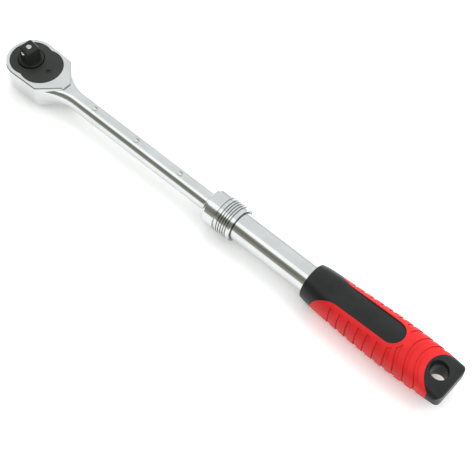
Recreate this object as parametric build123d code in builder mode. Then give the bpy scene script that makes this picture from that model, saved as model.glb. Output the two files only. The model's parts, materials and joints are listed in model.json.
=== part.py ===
# Extendable reversible ratchet handle, 1/2 inch square drive.
# Frame: origin on the drive axis at the height of the shank axis,
# X runs along the tool towards the grip end, Z runs up the drive square.
from build123d import *
from math import cos, sin, pi, radians, sqrt
import os

os.makedirs("parts", exist_ok=True)

# ---- head -------------------------------------------------------------
head_top = 10.6
head_bottom = -10.2
nose_r = 20.8
head_side = 20.0
corner_x = 25.8
neck_edge_x = 42.0
neck_edge_half = 4.2
corner_round = 2.2
top_bevel = 0.7
neck_end_x = 56.0
shank_start_x = 50.0
shank_r = 7.85
shank_end_x = 254.0
stub_r = 6.0
stub_x = 244.0

# ---- detents ----------------------------------------------------------
detent_first_x = 74.0
detent_pitch = 140.0 / 3
detent_count = 4
lock_ball_r = 2.65
ball_seat_z = 9.05
ball_lift = 1.48
lip_z0 = 7.55
lip_r0 = 2.15
lip_rise = 0.8
lock_ball_x = 214.0

# ---- drive ------------------------------------------------------------
teeth = 36
gear_tip_r = 14.5
gear_root_r = 13.3
tooth_tip_half = 1.2
tooth_root_half = 3.8
gear_z0 = -5.9
gear_z1 = 8.1
cavity_floor = -6.2
cavity_r = 15.3
lobe_x = 12.3
lobe_r = 15.8
lower_boss_r = 9.0
upper_boss_r = 10.2
seat_z = 11.7
square = 12.7
square_turn = -5.0
anvil_tip_z = 24.3
rod_r = 2.35
rod_neck_r = 1.4
rod_tip_z = 24.9
button_r = 4.2
button_z = -13.0
ball_r = 2.4
ball_z = 20.5
ball_out = 4.85

# ---- cover plate ------------------------------------------------------
plate_z0 = 8.5
plate_z1 = 10.4
plate_r1 = 17.5
plate_r2 = 17.8
waist_r = 4.0
plate_gap = 0.15
plate_bore_r = 10.9

# ---- pawl and reverse lever ------------------------------------------
pin_x = 20.2
pin_r = 2.55
pawl_swing = 3.5
mesh_gap = 0.12
hub_x = 31.5
hub_r = 5.2
hub_z1 = 3.6
lever_turn = 30.0
plunger_r = 1.6

# ---- sliding handle ---------------------------------------------------
tube_r = 11.7
tube_bore = 9.7
tube_x0 = 204.0
tube_x1 = 399.0
bush_x1 = 241.5
collar_x0 = 201.0
collar_x1 = 229.4
grip_x0 = 299.5
grip_x1 = 424.2
grip_skin = 2.4
groove_depth = 0.95
hole_x = 411.8
hole_r = 6.2
tongue_x = 370.6
tongue_end_r = 9.6
tongue_join_x = 328.0
scallop_depth = 0.6
end_round = 6.5
end_half = 17.85
scallop_width = 3.2


def at(angle, radius):
    return (radius * cos(radians(angle)), radius * sin(radians(angle)))


def figure_eight(grow):
    # two lobes joined by a concave round at each side of the waist
    r1 = plate_r1 + grow
    r2 = plate_r2 + grow
    rw = waist_r - grow
    cx = ((r1 + rw) ** 2 - (r2 + rw) ** 2 + lobe_x ** 2) / (2 * lobe_x)
    cy = sqrt((r1 + rw) ** 2 - cx ** 2)
    x1 = cx * r1 / (r1 + rw)
    y1 = cy * r1 / (r1 + rw)
    x2 = lobe_x + (cx - lobe_x) * r2 / (r2 + rw)
    y2 = cy * r2 / (r2 + rw)
    return [
        ((x1, y1), (-r1, 0), (x1, -y1)),
        ((x1, -y1), (cx, rw - cy), (x2, -y2)),
        ((x2, -y2), (lobe_x + r2, 0), (x2, y2)),
        ((x2, y2), (cx, cy - rw), (x1, y1)),
    ]


# ---- ratchet head, neck and shank in one forging ----------------------
neck_sections = [
    (22.0, 20.1, 9.3, 2.4),
    (28.0, 17.6, 8.7, 3.4),
    (34.5, 13.4, 8.4, 5.2),
    (41.0, 10.2, 8.3, 6.8),
    (48.0, 8.4, 8.15, 7.7),
    (neck_end_x, 7.5, 7.5, 7.4),
]

with BuildPart() as ratchet_head:
    with BuildSketch(Plane.XY.offset(head_bottom)) as head_outline:
        with BuildLine():
            Line((0, nose_r), (corner_x, head_side))
            Line((corner_x, head_side), (neck_edge_x, neck_edge_half))
            Line((neck_edge_x, neck_edge_half), (neck_edge_x, -neck_edge_half))
            Line((neck_edge_x, -neck_edge_half), (corner_x, -head_side))
            Line((corner_x, -head_side), (0, -nose_r))
            ThreePointArc((0, -nose_r), (-nose_r, 0), (0, nose_r))
        make_face()
        fillet(head_outline.vertices().filter_by_position(Axis.X, 20, 30), radius=corner_round)
        fillet(head_outline.vertices().sort_by(Axis.X)[-2:], radius=1.2)
    extrude(amount=head_top - head_bottom)
    chamfer(faces().sort_by(Axis.Z)[-1].edges(), length=top_bevel)
    chamfer(faces().sort_by(Axis.Z)[0].edges(), length=1.0)
    for x, half_w, half_h, round_r in neck_sections:
        with BuildSketch(Plane.YZ.offset(x)):
            RectangleRounded(2 * half_w, 2 * half_h, round_r)
    loft()
    # the shank starts inside the neck, and the neck ends inside the shank
    with BuildSketch(Plane.YZ.offset(shank_start_x)):
        Circle(shank_r)
    extrude(amount=stub_x - shank_start_x)
    with BuildSketch(Plane.YZ.offset(stub_x)):
        Circle(stub_r)
    extrude(amount=shank_end_x - stub_x)
    chamfer(faces().sort_by(Axis.X)[-1].edges(), length=0.5)
    # seat for the cover plate
    with BuildSketch(Plane.XY.offset(plate_z0)):
        with BuildLine():
            for arc in figure_eight(plate_gap):
                ThreePointArc(*arc)
        make_face()
    extrude(amount=5, mode=Mode.SUBTRACT)
    # mechanism chamber
    with BuildSketch(Plane.XY.offset(cavity_floor)):
        Circle(cavity_r)
        with Locations((lobe_x, 0)):
            Circle(lobe_r)
    extrude(amount=20, mode=Mode.SUBTRACT)
    # bore for the drive's lower journal
    with Locations((0, 0, head_bottom)):
        Cylinder(lower_boss_r + 0.06, 20, mode=Mode.SUBTRACT)
    # pin seat in the floor
    with Locations((pin_x, 0, cavity_floor)):
        Cylinder(pin_r, 6.0, mode=Mode.SUBTRACT)
    # blind bore for the reverse lever, and its window to the pawl
    with BuildSketch(Plane.XY.offset(head_bottom - 1)):
        with Locations((hub_x, 0)):
            Circle(hub_r + 0.06)
    extrude(amount=hub_z1 + 0.4 - head_bottom + 1, mode=Mode.SUBTRACT)
    with Locations((hub_x - 3.5, 0, 0)):
        Box(7, 11.6, 7, mode=Mode.SUBTRACT)
    # detent dimples along the top of the shank
    for i in range(detent_count):
        with Locations((detent_first_x + i * detent_pitch, 0, ball_seat_z)):
            Sphere(lock_ball_r + 0.05, mode=Mode.SUBTRACT)
        with Locations((detent_first_x + i * detent_pitch, 0, lip_z0 + lip_rise / 2)):
            Cone(lip_r0, lip_r0 + 2 * lip_rise, lip_rise, mode=Mode.SUBTRACT)
    # groove for the circlip
    with BuildSketch(Plane.YZ.offset(252.1)):
        Circle(stub_r + 1)
        Circle(stub_r - 0.6, mode=Mode.SUBTRACT)
    extrude(amount=1.0, mode=Mode.SUBTRACT)
ratchet_head.part.label = "ratchet_head"
export_step(ratchet_head.part, "parts/ratchet_head.step")

# ---- stop ring and circlip on the inner end of the shank ---------------
with BuildPart() as shank_stop_ring:
    with BuildSketch(Plane.YZ.offset(stub_x)):
        Circle(tube_bore - 0.08)
        Circle(stub_r, mode=Mode.SUBTRACT)
    extrude(amount=252.0 - stub_x)
    chamfer(edges().filter_by(GeomType.CIRCLE).group_by(SortBy.RADIUS)[-1], length=0.5)
shank_stop_ring.part.label = "shank_stop_ring"
export_step(shank_stop_ring.part, "parts/shank_stop_ring.step")

with BuildPart() as shank_circlip:
    with BuildSketch(Plane.YZ.offset(252.15)):
        Circle(7.6)
        Circle(stub_r - 0.6, mode=Mode.SUBTRACT)
        with Locations((0, -7)):
            Rectangle(3.0, 6, mode=Mode.SUBTRACT)
    extrude(amount=0.9)
shank_circlip.part.label = "shank_circlip"
export_step(shank_circlip.part, "parts/shank_circlip.step")

# ---- cover plate, pawl pin and the screw that holds the plate ----------
with BuildPart() as cover_plate:
    with BuildSketch(Plane.XY.offset(plate_z0)):
        with BuildLine():
            for arc in figure_eight(0):
                ThreePointArc(*arc)
        make_face()
        Circle(plate_bore_r, mode=Mode.SUBTRACT)
    extrude(amount=plate_z1 - plate_z0)
    chamfer(faces().sort_by(Axis.Z)[-1].edges(), length=0.3)
    with BuildSketch(Plane.XZ):
        with BuildLine():
            Polyline((pin_x, plate_z0 - 1), (pin_x + 1.6, plate_z0 - 1), (pin_x + 1.6, plate_z1 - 1.25),
                     (pin_x + 2.85, plate_z1), (pin_x + 2.85, plate_z1 + 1),
                     (pin_x, plate_z1 + 1), close=True)
        make_face()
    revolve(axis=Axis((pin_x, 0, 0), (0, 0, 1)), mode=Mode.SUBTRACT)
cover_plate.part.label = "cover_plate"
export_step(cover_plate.part, "parts/cover_plate.step")

with BuildPart() as pawl_pin:
    with BuildSketch(Plane.XY.offset(cavity_floor - 3.0)):
        with Locations((pin_x, 0)):
            Circle(pin_r)
    extrude(amount=plate_z0 - 0.05 - cavity_floor + 3.0)
    with BuildSketch(Plane.XY.offset(plate_z0 - 7)):
        with Locations((pin_x, 0)):
            Circle(1.5)
    extrude(amount=10, mode=Mode.SUBTRACT)
    chamfer(faces().sort_by(Axis.Z)[0].edges(), length=0.3)
pawl_pin.part.label = "pawl_pin"
export_step(pawl_pin.part, "parts/pawl_pin.step")

with BuildPart() as cover_screw:
    with BuildSketch(Plane.XZ):
        with BuildLine():
            Polyline((pin_x, plate_z0 - 6), (pin_x + 1.5, plate_z0 - 6), (pin_x + 1.5, plate_z1 - 1.3),
                     (pin_x + 2.75, plate_z1 - 0.1), (pin_x, plate_z1 - 0.1), close=True)
        make_face()
    revolve(axis=Axis((pin_x, 0, 0), (0, 0, 1)))
    with BuildSketch(Plane.XY.offset(plate_z1 - 0.85)):
        with Locations((pin_x, 0)):
            RegularPolygon(1.75, 6)
    extrude(amount=2, mode=Mode.SUBTRACT)
cover_screw.part.label = "cover_screw"
export_step(cover_screw.part, "parts/cover_screw.step")

# ---- drive gear with its boss and square -------------------------------
with BuildPart() as drive_gear:
    with BuildSketch(Plane.XY.offset(gear_z0)):
        Circle(gear_tip_r)
        with PolarLocations(0, teeth):
            with BuildLine():
                Polyline(at(5 - tooth_root_half, gear_tip_r + 0.3), at(5 - tooth_tip_half, gear_root_r),
                         at(5 + tooth_tip_half, gear_root_r),
                         at(5 + tooth_root_half, gear_tip_r + 0.3), close=True)
            make_face(mode=Mode.SUBTRACT)
    extrude(amount=gear_z1 - gear_z0)
    with BuildSketch(Plane.XY.offset(head_bottom + 0.1)):
        Circle(lower_boss_r)
    extrude(amount=gear_z0 - head_bottom)
    with BuildSketch(Plane.XY.offset(gear_z1)):
        Circle(upper_boss_r)
    extrude(amount=seat_z - gear_z1)
    chamfer(faces().sort_by(Axis.Z)[-1].edges(), length=0.4)
    with BuildSketch(Plane.XY.offset(seat_z)) as anvil:
        Rectangle(square, square, rotation=square_turn)
        fillet(anvil.vertices(), radius=1.3)
    extrude(amount=anvil_tip_z - seat_z)
    chamfer(faces().sort_by(Axis.Z)[-1].edges(), length=0.9)
    # bore for the release rod, its spring chamber and a bevel round the tip
    Cylinder(rod_r + 0.06, 80, mode=Mode.SUBTRACT)
    with BuildSketch(Plane.XY.offset(head_bottom - 1)):
        Circle(button_r + 0.08)
    extrude(amount=10.7, mode=Mode.SUBTRACT)
    with Locations((0, 0, anvil_tip_z)):
        Cone(rod_r + 0.06 - 0.6, rod_r + 0.06 + 0.6, 1.2, mode=Mode.SUBTRACT)
    # radial hole for the socket ball, closed in a little at its mouth
    with BuildSketch(Plane(origin=(0, 0, ball_z), x_dir=(cos(radians(square_turn)),
                     sin(radians(square_turn)), 0),
                           z_dir=(sin(radians(square_turn)), -cos(radians(square_turn)), 0))):
        Circle(ball_r + 0.05)
    extrude(amount=5.6, mode=Mode.SUBTRACT)
    with BuildSketch(Plane(origin=(5.6 * sin(radians(square_turn)), -5.6 * cos(radians(square_turn)),
                     ball_z),
                           x_dir=(cos(radians(square_turn)), sin(radians(square_turn)), 0),
                           z_dir=(sin(radians(square_turn)), -cos(radians(square_turn)), 0))):
        Circle(ball_r + 0.05)
    extrude(amount=1.5, taper=32, mode=Mode.SUBTRACT)
drive_gear.part.label = "drive_gear"
export_step(drive_gear.part, "parts/drive_gear.step")

with BuildPart() as release_rod:
    with BuildSketch(Plane.XZ):
        with BuildLine():
            Polyline((0, button_z), (button_r - 1.0, button_z), (button_r, button_z + 0.8),
                     (button_r, -7.6),
                     (rod_r, -7.6), (rod_r, 15.2), (rod_neck_r, 15.9), (rod_neck_r, 18.2), (rod_r, 20.7),
                     (rod_r, rod_tip_z - 0.5), (rod_r - 0.6, rod_tip_z), (0, rod_tip_z), close=True)
        make_face()
    revolve(axis=Axis.Z)
release_rod.part.label = "release_rod"
export_step(release_rod.part, "parts/release_rod.step")

with BuildPart() as release_spring:
    with BuildLine() as coil_path:
        Helix(pitch=1.5, height=5.6, radius=3.35, center=(0, 0, -6.9))
    with BuildSketch(Plane(origin=coil_path.line @ 0, z_dir=coil_path.line % 0)):
        Circle(0.4)
    sweep()
release_spring.part.label = "release_spring"
export_step(release_spring.part, "parts/release_spring.step")

with BuildPart() as socket_ball:
    with Locations((ball_out * sin(radians(square_turn)), -ball_out * cos(radians(square_turn)), ball_z)):
        Sphere(ball_r)
socket_ball.part.label = "socket_ball"
export_step(socket_ball.part, "parts/socket_ball.step")

# ---- pawl: a two-ended rocker, drawn about its pin, one end in mesh ----
pawl_plane = Plane(origin=(pin_x, 0, gear_z0), x_dir=(*at(-pawl_swing, 1), 0), z_dir=(0, 0, 1))
with BuildPart() as pawl:
    with BuildSketch(pawl_plane):
        with Locations((lobe_x - pin_x, 0)):
            Circle(15.1)
        with Locations((hub_x - pin_x, 0)):
            Circle(6.4, mode=Mode.SUBTRACT)
        with Locations((7.5 - pin_x - 20, 0)):
            Rectangle(40, 60, mode=Mode.SUBTRACT)
        # the gear as the pawl sees it at each end of the swing
        for side in (1, -1):
            gear_turn = -side * pawl_swing
            gx = -pin_x * cos(radians(gear_turn))
            gy = -pin_x * sin(radians(gear_turn))
            with BuildSketch(mode=Mode.PRIVATE) as gear_shape:
                Circle(gear_tip_r + mesh_gap)
                with PolarLocations(0, teeth):
                    with BuildLine():
                        Polyline(at(5 - tooth_root_half + 0.45, gear_tip_r + 0.5),
                                 at(5 - tooth_tip_half + 0.45, gear_root_r + mesh_gap),
                                 at(5 + tooth_tip_half - 0.45, gear_root_r + mesh_gap),
                                 at(5 + tooth_root_half - 0.45, gear_tip_r + 0.5), close=True)
                    make_face(mode=Mode.SUBTRACT)
            with Locations(Location((gx, gy), gear_turn)):
                add(gear_shape.sketch, mode=Mode.SUBTRACT)
            with BuildSketch(mode=Mode.PRIVATE) as relief:
                with Locations((gx, gy)):
                    Circle(14.85)
                with Locations((0, -side * 12)):
                    Rectangle(80, 40.6, mode=Mode.INTERSECT)
            add(relief.sketch, mode=Mode.SUBTRACT)
        Circle(pin_r + 0.06, mode=Mode.SUBTRACT)
    extrude(amount=gear_z1 - gear_z0)
pawl.part.label = "pawl"
export_step(pawl.part, "parts/pawl.step")

# ---- reverse lever with its sprung plunger ----------------------------
# lever_dir is the way the plunger points; the thumb paddle points the other way
lever_angle = 180 + lever_turn
lever_dir = at(lever_angle, 1)
paddle_turn = lever_turn
with BuildPart() as reverse_lever:
    with BuildSketch(Plane.XY.offset(head_bottom - 0.4)):
        with Locations((hub_x, 0)):
            Circle(hub_r)
    extrude(amount=hub_z1 - head_bottom + 0.4)
    with BuildSketch(Plane(origin=(hub_x, 0, head_bottom - 3.2), x_dir=(*at(paddle_turn, 1), 0),
                     z_dir=(0, 0, 1))):
        Circle(6.8)
        with BuildLine():
            Polyline((0, -6.0), (14.5, -3.2), (14.5, 3.2), (0, 6.0), close=True)
        make_face()
        with Locations((14.0, 0)):
            Circle(3.6)
    extrude(amount=2.8)
    fillet(faces().sort_by(Axis.Z)[0].edges(), radius=0.8)
    with BuildSketch(Plane(origin=(hub_x - 2.6 * lever_dir[0], -2.6 * lever_dir[1], 0),
                     z_dir=(*lever_dir, 0))):
        Circle(plunger_r + 0.05)
    extrude(amount=10, mode=Mode.SUBTRACT)
reverse_lever.part.label = "reverse_lever"
export_step(reverse_lever.part, "parts/reverse_lever.step")

with BuildPart() as lever_plunger:
    with BuildSketch(Plane(origin=(hub_x + 2.3 * lever_dir[0], 2.3 * lever_dir[1], 0),
                     z_dir=(*lever_dir, 0))):
        Circle(plunger_r)
    extrude(amount=3.6)
    fillet(edges().filter_by(GeomType.CIRCLE).sort_by(Axis.X)[0], radius=0.9)
lever_plunger.part.label = "lever_plunger"
export_step(lever_plunger.part, "parts/lever_plunger.step")

with BuildPart() as plunger_spring:
    spring_plane = Plane(origin=(hub_x - 2.2 * lever_dir[0], -2.2 * lever_dir[1], 0), z_dir=(*lever_dir, 0))
    with BuildLine() as plunger_coil:
        Helix(pitch=0.95, height=4.1, radius=1.2, center=spring_plane.origin, direction=spring_plane.z_dir)
    with BuildSketch(Plane(origin=plunger_coil.line @ 0, z_dir=plunger_coil.line % 0)):
        Circle(0.25)
    sweep()
plunger_spring.part.label = "plunger_spring"
export_step(plunger_spring.part, "parts/plunger_spring.step")

# ---- outer tube, front bush and end plug ------------------------------
with BuildPart() as outer_tube:
    with BuildSketch(Plane.YZ.offset(tube_x0)):
        Circle(tube_r)
        Circle(tube_bore, mode=Mode.SUBTRACT)
    extrude(amount=tube_x1 - tube_x0)
    with Locations((lock_ball_x, 0, tube_bore + 1)):
        Cylinder(lock_ball_r + 0.05, 8, mode=Mode.SUBTRACT)
    with BuildSketch(Plane.YZ.offset(223.7)):
        Circle(tube_r + 1)
        Circle(tube_r - 0.5, mode=Mode.SUBTRACT)
    extrude(amount=1.2, mode=Mode.SUBTRACT)
outer_tube.part.label = "outer_tube"
export_step(outer_tube.part, "parts/outer_tube.step")

with BuildPart() as front_bush:
    with BuildSketch(Plane.YZ.offset(tube_x0)):
        Circle(tube_bore)
        Circle(shank_r + 0.08, mode=Mode.SUBTRACT)
    extrude(amount=bush_x1 - tube_x0)
    with Locations((lock_ball_x, 0, tube_bore)):
        Cylinder(lock_ball_r + 0.05, 8, mode=Mode.SUBTRACT)
front_bush.part.label = "front_bush"
export_step(front_bush.part, "parts/front_bush.step")

with BuildPart() as tube_plug:
    with BuildSketch(Plane.YZ.offset(395.5)):
        Circle(tube_bore)
    extrude(amount=tube_x1 - 395.5)
    chamfer(faces().sort_by(Axis.X)[0].edges(), length=0.4)
tube_plug.part.label = "tube_plug"
export_step(tube_plug.part, "parts/tube_plug.step")

with BuildPart() as tube_snap_ring:
    with BuildSketch(Plane.YZ.offset(223.8)):
        Circle(12.9)
        Circle(tube_r - 0.5, mode=Mode.SUBTRACT)
        with Locations((0, -12)):
            Rectangle(3.5, 4, mode=Mode.SUBTRACT)
    extrude(amount=1.0)
tube_snap_ring.part.label = "tube_snap_ring"
export_step(tube_snap_ring.part, "parts/tube_snap_ring.step")

# ---- locking collar, its end ring, spring and ball --------------------
collar_line = [
    (collar_x0, 8.3), (collar_x0, 12.9), (collar_x0 + 0.7, 13.6), (203.0, 13.9), (203.6, 14.75),
    (204.2, 14.95),
    (213.6, 14.9), (213.9, 13.8), (215.9, 13.8), (216.2, 14.7),
]
for i in range(5):
    x = 216.2 + 2.1 * i
    r = 14.7 - 0.07 * i
    collar_line += [(x + 0.9, r), (x + 1.2, r - 0.75), (x + 1.8, r - 0.75), (x + 2.1, r - 0.07)]
collar_line += [
    (228.9, 14.2), (collar_x1, 13.8), (collar_x1, 13.1), (218.6, 13.1), (218.6, 11.8),
    (218.1, 11.8), (215.2, 13.25), (211.4, 13.25), (211.4, 11.8), (203.4, 11.8), (203.4, 8.3),
]
with BuildPart() as locking_collar:
    with BuildSketch(Plane.XZ):
        with BuildLine():
            Polyline(*collar_line, close=True)
        make_face()
    revolve(axis=Axis.X)
locking_collar.part.label = "locking_collar"
export_step(locking_collar.part, "parts/locking_collar.step")

with BuildPart() as collar_end_ring:
    # it stays clear of the snap ring when the collar is forward
    with BuildSketch(Plane.YZ.offset(227.95)):
        Circle(13.1)
        Circle(tube_r + 0.1, mode=Mode.SUBTRACT)
    extrude(amount=1.2)
    chamfer(faces().sort_by(Axis.X)[-1].edges(), length=0.3)
collar_end_ring.part.label = "collar_end_ring"
export_step(collar_end_ring.part, "parts/collar_end_ring.step")

with BuildPart() as collar_spring:
    with BuildLine() as collar_coil:
        Helix(pitch=1.35, height=4.0, radius=12.4, center=(219.15, 0, 0), direction=(1, 0, 0))
    with BuildSketch(Plane(origin=collar_coil.line @ 0, z_dir=collar_coil.line % 0)):
        Circle(0.45)
    sweep()
collar_spring.part.label = "collar_spring"
export_step(collar_spring.part, "parts/collar_spring.step")

with BuildPart() as lock_ball:
    with Locations((lock_ball_x, 0, ball_seat_z + ball_lift)):
        Sphere(lock_ball_r)
lock_ball.part.label = "lock_ball"
export_step(lock_ball.part, "parts/lock_ball.step")

# ---- grip: hard core over the tube, soft sleeve moulded round it -------
# station: x, half width, top, bottom, squareness of the section
grip_stations = [
    (grip_x0, 14.3, 14.3, 14.3, 2.0),
    (304.0, 15.1, 14.9, 15.0, 2.05),
    (312.0, 15.9, 15.0, 15.5, 2.1),
    (326.0, 16.6, 14.6, 15.7, 2.2),
    (344.0, 17.5, 15.0, 15.8, 2.3),
    (362.0, 18.3, 15.7, 15.8, 2.3),
    (380.0, 18.6, 15.5, 15.2, 2.35),
    (396.0, 18.5, 13.9, 13.0, 2.5),
    (411.0, 18.1, 10.9, 9.4, 2.8),
    (426.0, 17.5, 6.9, 5.6, 3.2),
]


def section(station, inset, count=24):
    x, half, top, bottom, power = station
    a = half - inset
    b = (top + bottom) / 2 - inset
    mid = (top - bottom) / 2
    points = []
    for i in range(count):
        t = 2 * pi * i / count
        c = cos(t)
        s = sin(t)
        y = a * abs(c) ** (2 / power) * (1 if c >= 0 else -1)
        z = b * abs(s) ** (2 / power) * (1 if s >= 0 else -1)
        points.append((y, z + mid))
    return points


def tongue_half(x):
    # half width of the thumb panel, wide where it leaves the front collar
    return tongue_end_r + 6.9 * max(0.0, (tongue_join_x - x) / 18.0) ** 1.6


tongue_side = [(x, tongue_half(x)) for x in (306.5, 309.0, 312.0, 315.5, 319.0, 323.0, tongue_join_x)]

with BuildPart() as envelope:
    for station in grip_stations:
        with BuildSketch(Plane.YZ.offset(station[0])):
            with BuildLine():
                Spline(*section(station, 0), periodic=True)
            make_face()
    loft()
    # rounded end corners, seen from above and then from the side
    with BuildSketch() as corners:
        for side in (1, -1):
            with Locations((grip_x1 - end_round + 10, side * (end_half - end_round + 10))):
                Rectangle(20, 20)
        for side in (1, -1):
            with Locations((grip_x1 - end_round, side * (end_half - end_round))):
                Circle(end_round, mode=Mode.SUBTRACT)
    extrude(amount=40, both=True, mode=Mode.SUBTRACT)
    with BuildSketch(Plane.XZ) as side_view:
        with BuildLine():
            Polyline((250, 30), (grip_x1 - 16, 14), (grip_x1, 5.9), (grip_x1, -4.7),
                     (grip_x1 - 16, -14), (250, -30),
                     close=True)
        make_face()
        fillet(side_view.vertices().filter_by_position(Axis.X, grip_x1 - 1, grip_x1 + 1), radius=3.0)
    extrude(amount=40, both=True, mode=Mode.INTERSECT)

with BuildPart() as under_skin:
    for station in grip_stations:
        with BuildSketch(Plane.YZ.offset(station[0])):
            with BuildLine():
                Spline(*section(station, grip_skin), periodic=True)
            make_face()
    loft()

with BuildPart() as scallop_floor:
    for station in grip_stations:
        with BuildSketch(Plane.YZ.offset(station[0])):
            with BuildLine():
                Spline(*section(station, scallop_depth), periodic=True)
            make_face()
    loft()

with BuildPart() as groove_floor:
    for station in grip_stations:
        with BuildSketch(Plane.YZ.offset(station[0])):
            with BuildLine():
                Spline(*section(station, groove_depth), periodic=True)
            make_face()
    loft()

# the thumb panel and front collar outline, as a tall cutter
with BuildPart() as tongue_cutter:
    with BuildSketch():
        with BuildLine():
            Spline(*[(x, -w) for x, w in tongue_side])
            Line((tongue_join_x, -tongue_end_r), (tongue_x, -tongue_end_r))
            ThreePointArc((tongue_x, -tongue_end_r), (tongue_x + tongue_end_r, 0), (tongue_x, tongue_end_r))
            Line((tongue_x, tongue_end_r), (tongue_join_x, tongue_end_r))
            Spline(*[(x, w) for x, w in reversed(tongue_side)])
            Line(tongue_side[0], (290.0, tongue_side[0][1]))
            Line((290.0, tongue_side[0][1]), (290.0, -tongue_side[0][1]))
            Line((290.0, -tongue_side[0][1]), (tongue_side[0][0], -tongue_side[0][1]))
        make_face()
    extrude(amount=40)

# curved grooves round the sleeve: station at the crown, radius seen from above
sleeve_grooves = [
    (325.1, 90), (333.1, 90), (341.1, 90), (349.7, 90), (357.5, 90), (365.7, 70), (373.3, 50), (379.1, 30),
    (387.4, 28), (395.2, 24),
]
with BuildPart() as groove_cutter:
    add(envelope.part)
    add(groove_floor.part, mode=Mode.SUBTRACT)
    with BuildSketch(Plane.XY.offset(-40)) as groove_plan:
        for crown_x, bend_r in sleeve_grooves:
            with Locations((crown_x + bend_r, 0)):
                Circle(bend_r)
                Circle(bend_r - 0.7, mode=Mode.SUBTRACT)
    extrude(amount=80, mode=Mode.INTERSECT)
    # leave a plain margin round the thumb panel
    with BuildSketch():
        with Locations((tongue_x - 50, 0)):
            Rectangle(100, 2 * tongue_end_r + 5.5)
        with Locations((tongue_x, 0)):
            Circle(tongue_end_r + 2.75)
    extrude(amount=40, mode=Mode.SUBTRACT)

with BuildPart() as scallop_cutter:
    add(envelope.part)
    add(scallop_floor.part, mode=Mode.SUBTRACT)
    with BuildSketch(Plane.XY.offset(-40)) as scallop_plan:
        for crown_x, bend_r in sleeve_grooves:
            with Locations((crown_x + bend_r, 0)):
                Circle(bend_r)
                Circle(bend_r - scallop_width, mode=Mode.SUBTRACT)
    extrude(amount=80, mode=Mode.INTERSECT)
    with BuildSketch():
        with Locations((tongue_x - 50, 0)):
            Rectangle(100, 2 * tongue_end_r + 5.5)
        with Locations((tongue_x, 0)):
            Circle(tongue_end_r + 2.75)
    extrude(amount=40, mode=Mode.SUBTRACT)

# region of the soft sleeve: behind the front collar, ahead of the end arc
end_arc_r = 18.5
end_arc_x = 402.8
with BuildPart() as sleeve_blank:
    add(envelope.part)
    add(under_skin.part, mode=Mode.SUBTRACT)
    with BuildSketch(Plane.XY.offset(-40)):
        with Locations((310.0 + 60, 0)):
            Rectangle(120, 60)
        with Locations((end_arc_x + end_arc_r, 0)):
            Circle(end_arc_r, mode=Mode.SUBTRACT)
            Rectangle(2 * 7.0, 60, mode=Mode.SUBTRACT)
    extrude(amount=80, mode=Mode.INTERSECT)
    add(tongue_cutter.part, mode=Mode.SUBTRACT)
    # the core keeps a wall round the tube where the grip thins down
    with BuildSketch(Plane.YZ.offset(grip_x0)):
        Circle(tube_r + 0.9)
    extrude(amount=tube_x1 + 1.0 - grip_x0, mode=Mode.SUBTRACT)

with BuildPart() as grip_sleeve:
    add(sleeve_blank.part)
    add(groove_cutter.part, mode=Mode.SUBTRACT)
    add(scallop_cutter.part, mode=Mode.SUBTRACT)
grip_sleeve.part.label = "grip_sleeve"
export_step(grip_sleeve.part, "parts/grip_sleeve.step")

# the thumb panel sinks gently below the sleeve round it
panel_sink = [-0.5, -0.5, -0.4, 0.25, 0.7, 0.8, 0.8, 0.8, 0.8, 0.8]
with BuildPart() as panel_floor:
    for station, sink in zip(grip_stations, panel_sink):
        with BuildSketch(Plane.YZ.offset(station[0])):
            with BuildLine():
                Spline(*section(station, sink), periodic=True)
            make_face()
    loft()
with BuildPart() as panel_skin:
    add(envelope.part)
    add(panel_floor.part, mode=Mode.SUBTRACT)
    add(tongue_cutter.part, mode=Mode.INTERSECT)
    with Locations((314 + 40, 0, 0)):
        Box(80, 60, 60, mode=Mode.INTERSECT)

with BuildPart() as grip_core:
    add(envelope.part)
    add(sleeve_blank.part, mode=Mode.SUBTRACT)
    add(panel_skin.part, mode=Mode.SUBTRACT)
    # bore for the tube
    with BuildSketch(Plane.YZ.offset(grip_x0 - 1)):
        Circle(tube_r)
    extrude(amount=tube_x1 + 0.2 - grip_x0 + 1, mode=Mode.SUBTRACT)
    # hanging hole, dished at both faces
    with Locations((hole_x, 0, 0)):
        Cylinder(hole_r, 40, mode=Mode.SUBTRACT)
    with Locations((hole_x, 0, 6.8)):
        Cone(hole_r, hole_r + 1.4, 6, align=(Align.CENTER, Align.CENTER, Align.MIN), mode=Mode.SUBTRACT)
    with Locations((hole_x, 0, -7.3)):
        Cone(hole_r + 1.4, hole_r, 6, align=(Align.CENTER, Align.CENTER, Align.MAX), mode=Mode.SUBTRACT)
grip_core.part.label = "grip_core"
export_step(grip_core.part, "parts/grip_core.step")
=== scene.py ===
import json
from math import cos, sin, pi

import bmesh
import bpy
from mathutils import Matrix, Vector


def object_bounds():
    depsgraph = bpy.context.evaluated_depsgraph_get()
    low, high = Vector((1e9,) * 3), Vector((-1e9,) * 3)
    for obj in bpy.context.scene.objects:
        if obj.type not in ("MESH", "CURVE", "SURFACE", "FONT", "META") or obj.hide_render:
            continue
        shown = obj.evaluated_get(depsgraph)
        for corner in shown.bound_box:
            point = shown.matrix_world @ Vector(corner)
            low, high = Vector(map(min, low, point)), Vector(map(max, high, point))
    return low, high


# Extendable reversible ratchet handle: looks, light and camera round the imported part.
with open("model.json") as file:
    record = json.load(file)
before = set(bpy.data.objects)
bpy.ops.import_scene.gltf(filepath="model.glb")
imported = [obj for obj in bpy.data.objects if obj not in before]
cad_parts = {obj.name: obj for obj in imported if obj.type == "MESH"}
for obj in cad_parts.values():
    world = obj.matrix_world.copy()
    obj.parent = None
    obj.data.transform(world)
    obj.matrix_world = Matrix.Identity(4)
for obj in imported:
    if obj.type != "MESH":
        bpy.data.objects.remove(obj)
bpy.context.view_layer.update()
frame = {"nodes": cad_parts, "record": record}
nodes = frame["nodes"]


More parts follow.
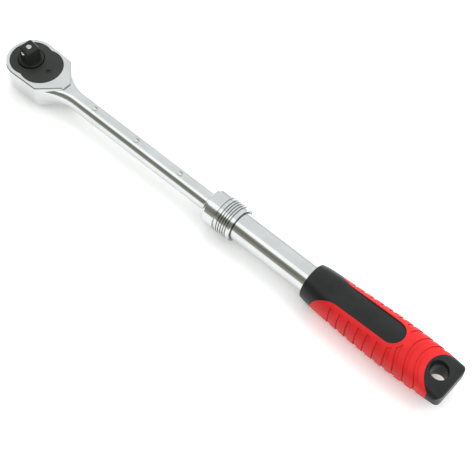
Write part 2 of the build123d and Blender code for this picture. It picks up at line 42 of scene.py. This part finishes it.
# ---- materials ---------------------------------------------------------
# lengths are in metres
NOISE_LOW = 0.3
NOISE_HIGH = 0.7
# reach of the painted shade that darkens the chrome in closely shut-in hollows
PAINTED_SHADE_REACH = 0.0016
METAL_GRAIN_DEPTH = 0.00006
PLASTIC_GRAIN_DEPTH = 0.0001
COATED_SPECULAR = 0.25
PLASTIC_SPECULAR = 0.22


def new_material(name):
    mat = bpy.data.materials.new(name)
    mat.use_nodes = True
    tree = mat.node_tree
    shader = tree.nodes["Principled BSDF"]
    coords = tree.nodes.new("ShaderNodeTexCoord")
    return mat, tree, shader, coords


def noise(tree, coords, scale, detail=4.0):
    tex = tree.nodes.new("ShaderNodeTexNoise")
    tex.inputs["Scale"].default_value = scale
    tex.inputs["Detail"].default_value = detail
    tex.inputs["Roughness"].default_value = 0.55
    tree.links.new(coords.outputs["Object"], tex.inputs["Vector"])
    return tex.outputs["Fac"]


def spread(tree, fac, low, high, start=NOISE_LOW, stop=NOISE_HIGH):
    node = tree.nodes.new("ShaderNodeMapRange")
    node.inputs["From Min"].default_value = start
    node.inputs["From Max"].default_value = stop
    node.inputs["To Min"].default_value = low
    node.inputs["To Max"].default_value = high
    tree.links.new(fac, node.inputs["Value"])
    return node.outputs["Result"]


def tint(tree, fac, dark, light):
    ramp = tree.nodes.new("ShaderNodeValToRGB")
    ramp.color_ramp.elements[0].position = NOISE_LOW
    ramp.color_ramp.elements[0].color = (*dark, 1)
    ramp.color_ramp.elements[1].position = NOISE_HIGH
    ramp.color_ramp.elements[1].color = (*light, 1)
    tree.links.new(fac, ramp.inputs["Fac"])
    return ramp.outputs["Color"]


def bump(tree, shader, fac, strength, distance):
    node = tree.nodes.new("ShaderNodeBump")
    node.inputs["Strength"].default_value = strength
    node.inputs["Distance"].default_value = distance
    tree.links.new(fac, node.inputs["Height"])
    tree.links.new(node.outputs["Normal"], shader.inputs["Normal"])


def paint_crevice_shade(tree, colour, painted_shade_colour):
    # painted shade in grooves and dimples: the colour goes dark where the surface is closely shut
    # in
    shut = tree.nodes.new("ShaderNodeAmbientOcclusion")
    shut.samples = 8
    shut.inputs["Distance"].default_value = PAINTED_SHADE_REACH
    mix = tree.nodes.new("ShaderNodeMix")
    mix.data_type = "RGBA"
    # sockets by number, because the names A, B and Result are shared by every data type
    mix.inputs[6].default_value = (*painted_shade_colour, 1)
    tree.links.new(spread(tree, shut.outputs["AO"], 0.0, 1.0, 0.25, 0.80), mix.inputs[0])
    tree.links.new(colour, mix.inputs[7])
    return mix.outputs[2]


def metal(name, dark, light, rough, grain, metallic=1.0, painted_shade_colour=None):
    mat, tree, shader, coords = new_material(name)
    shader.inputs["Metallic"].default_value = metallic
    if metallic < 1.0:
        shader.inputs["Specular IOR Level"].default_value = COATED_SPECULAR
    cloud = noise(tree, coords, 60.0)
    fine = noise(tree, coords, 900.0, detail=2.0)
    colour = tint(tree, cloud, dark, light)
    # painted shade: the colour darkens in closely shut-in grooves and dimples
    if painted_shade_colour:
        colour = paint_crevice_shade(tree, colour, painted_shade_colour)
    tree.links.new(colour, shader.inputs["Base Color"])
    tree.links.new(spread(tree, cloud, rough[0], rough[1]), shader.inputs["Roughness"])
    bump(tree, shader, fine, grain, METAL_GRAIN_DEPTH)
    return mat


def moulded(name, dark, light, rough, grain, grain_size, sheen=0.0):
    mat, tree, shader, coords = new_material(name)
    cloud = noise(tree, coords, 45.0)
    fine = noise(tree, coords, grain_size, detail=3.0)
    tree.links.new(tint(tree, cloud, dark, light), shader.inputs["Base Color"])
    tree.links.new(spread(tree, cloud, rough[0], rough[1]), shader.inputs["Roughness"])
    shader.inputs["Sheen Weight"].default_value = sheen
    shader.inputs["Specular IOR Level"].default_value = PLASTIC_SPECULAR
    bump(tree, shader, fine, grain, PLASTIC_GRAIN_DEPTH)
    return mat


materials = {
    # chrome gets painted shade in its grooves and dimples
    "chrome": metal("chrome", (0.60, 0.615, 0.61), (0.66, 0.675, 0.675), (0.06, 0.11), 0.04,
                    painted_shade_colour=(0.03, 0.03, 0.028)),
    "black_oxide": metal("black_oxide", (0.016, 0.017, 0.015), (0.032, 0.033, 0.030),
                         (0.26, 0.38), 0.25, metallic=0.3),
    "black_plate": metal("black_plate", (0.022, 0.024, 0.023), (0.034, 0.036, 0.034),
                         (0.36, 0.46), 0.3, metallic=0.2),
    "bare_steel": metal("bare_steel", (0.52, 0.52, 0.50), (0.68, 0.68, 0.66), (0.16, 0.28), 0.15),
    "spring_steel": metal("spring_steel", (0.28, 0.28, 0.28), (0.42, 0.42, 0.41),
                          (0.25, 0.35), 0.15),
    "tool_steel": metal("tool_steel", (0.32, 0.32, 0.30), (0.46, 0.46, 0.44), (0.22, 0.34), 0.2),
    "black_plastic": moulded("black_plastic", (0.010, 0.011, 0.011), (0.018, 0.019, 0.019),
                             (0.28, 0.38), 0.18, 2600.0),
    "red_grip": moulded("red_grip", (0.60, 0.012, 0.014), (0.72, 0.020, 0.020),
                        (0.44, 0.56), 0.16, 2200.0, sheen=0.05),
}
for part in frame["record"]["subparts"]:
    piece = nodes[part["node"]]
    piece.data.materials.clear()
    piece.data.materials.append(materials[part["material_slot"]])

# ---- floor -------------------------------------------------------------
floor_gap = 0.0002
floor_half = 5
low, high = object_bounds()
floor_z = low[2] - floor_gap
mesh = bpy.data.meshes.new("floor")
build = bmesh.new()
corners = [build.verts.new((x * floor_half, y * floor_half, floor_z))
           for x, y in ((-1, -1), (1, -1), (1, 1), (-1, 1))]
build.faces.new(corners)
build.to_mesh(mesh)
build.free()
floor = bpy.data.objects.new("floor", mesh)
bpy.context.scene.collection.objects.link(floor)
floor_mat, tree, shader, coords = new_material("pale_floor")
tree.links.new(tint(tree, noise(tree, coords, 8.0), (0.90, 0.90, 0.90), (0.92, 0.92, 0.92)),
               shader.inputs["Base Color"])
shader.inputs["Roughness"].default_value = 0.8
shader.inputs["Specular IOR Level"].default_value = 0.1
shader.inputs["Emission Color"].default_value = (1, 1, 1, 1)
shader.inputs["Emission Strength"].default_value = 0.20
floor.data.materials.append(floor_mat)

# ---- camera ------------------------------------------------------------
# angles are in radians
azimuth = 0.737
elevation = 1.009
roll = 0.003
target = Vector((0.233957, -0.008655, 0.0))
distance = 0.801627
away = Vector((sin(azimuth) * cos(elevation), -cos(azimuth) * cos(elevation), sin(elevation)))
right = (-away).cross(Vector((0, 0, 1))).normalized()
up = right.cross(-away)
right_rolled = cos(roll) * right + sin(roll) * up
up_rolled = -sin(roll) * right + cos(roll) * up
camera_data = bpy.data.cameras.new("camera")
camera_data.sensor_fit = "HORIZONTAL"
camera_data.sensor_width = 36.0
camera_data.lens = 82.3
camera_data.clip_end = 20.0
camera = bpy.data.objects.new("camera", camera_data)
turn = Matrix((right_rolled, up_rolled, away)).transposed().to_4x4()
camera.matrix_world = Matrix.Translation(target + distance * away) @ turn
bpy.context.scene.collection.objects.link(camera)
bpy.context.scene.camera = camera


# ---- light -------------------------------------------------------------
def softbox(name, place, aim, size_x, size_y, watts):
    # it only shades: the chrome mirrors the sky arc below, not the lamps
    light = bpy.data.lights.new(name, "AREA")
    light.shape = "RECTANGLE"
    light.size = size_x
    light.size_y = size_y
    light.energy = watts
    lamp = bpy.data.objects.new(name, light)
    way = Vector(aim) - Vector(place)
    lamp.rotation_euler = way.to_track_quat("-Z", "Y").to_euler()
    lamp.location = place
    lamp.visible_glossy = False
    bpy.context.scene.collection.objects.link(lamp)


softbox("key", (-0.10, 0.70, 1.00), (0.2, 0, 0), 1.1, 0.9, 6.5)
softbox("side", (0.95, 0.35, 0.70), (0.25, 0, 0), 0.5, 0.7, 2.5)

world = bpy.data.worlds.new("studio")
bpy.context.scene.world = world
world.use_nodes = True
tree = world.node_tree
coords = tree.nodes.new("ShaderNodeTexCoord")
split = tree.nodes.new("ShaderNodeSeparateXYZ")
tree.links.new(coords.outputs["Generated"], split.inputs["Vector"])
minus_y = tree.nodes.new("ShaderNodeMath")
minus_y.operation = "MULTIPLY"
minus_y.inputs[1].default_value = -1.0
tree.links.new(split.outputs["Y"], minus_y.inputs[0])
around = tree.nodes.new("ShaderNodeMath")
around.operation = "ARCTAN2"
tree.links.new(split.outputs["Z"], around.inputs[0])
tree.links.new(minus_y.outputs["Value"], around.inputs[1])
# degrees of the sky arc across the tool, from the front horizon over the top to the back horizon
degrees = tree.nodes.new("ShaderNodeMapRange")
degrees.inputs["From Min"].default_value = 0.0
degrees.inputs["From Max"].default_value = pi
tree.links.new(around.outputs["Value"], degrees.inputs["Value"])
arc = tree.nodes.new("ShaderNodeValToRGB")
tree.links.new(degrees.outputs["Result"], arc.inputs["Fac"])
sky = [
    (0, (0.40, 0.40, 0.38)), (8, (0.26, 0.26, 0.23)), (28, (0.15, 0.15, 0.125)),
    (44, (0.20, 0.20, 0.17)), (51, (0.60, 0.60, 0.58)), (55, (1.0, 1.0, 1.0)),
    (74, (1.0, 1.0, 1.0)), (80, (0.68, 0.70, 0.70)),
    (120, (0.67, 0.69, 0.69)), (160, (0.70, 0.72, 0.72)), (174, (0.52, 0.53, 0.53)),
]
stops = arc.color_ramp
stops.elements[0].position = 0.0
stops.elements[0].color = (*sky[0][1], 1)
stops.elements[1].position = 1.0
stops.elements[1].color = (0.45, 0.45, 0.45, 1)
for angle, colour in sky[1:]:
    stop = stops.elements.new(angle / 180)
    stop.color = (*colour, 1)
tree.links.new(arc.outputs["Color"], tree.nodes["Background"].inputs["Color"])
tree.nodes["Background"].inputs["Strength"].default_value = 1.5

bpy.context.scene.view_settings.view_transform = "Standard"
bpy.context.scene.view_settings.exposure = 0.0
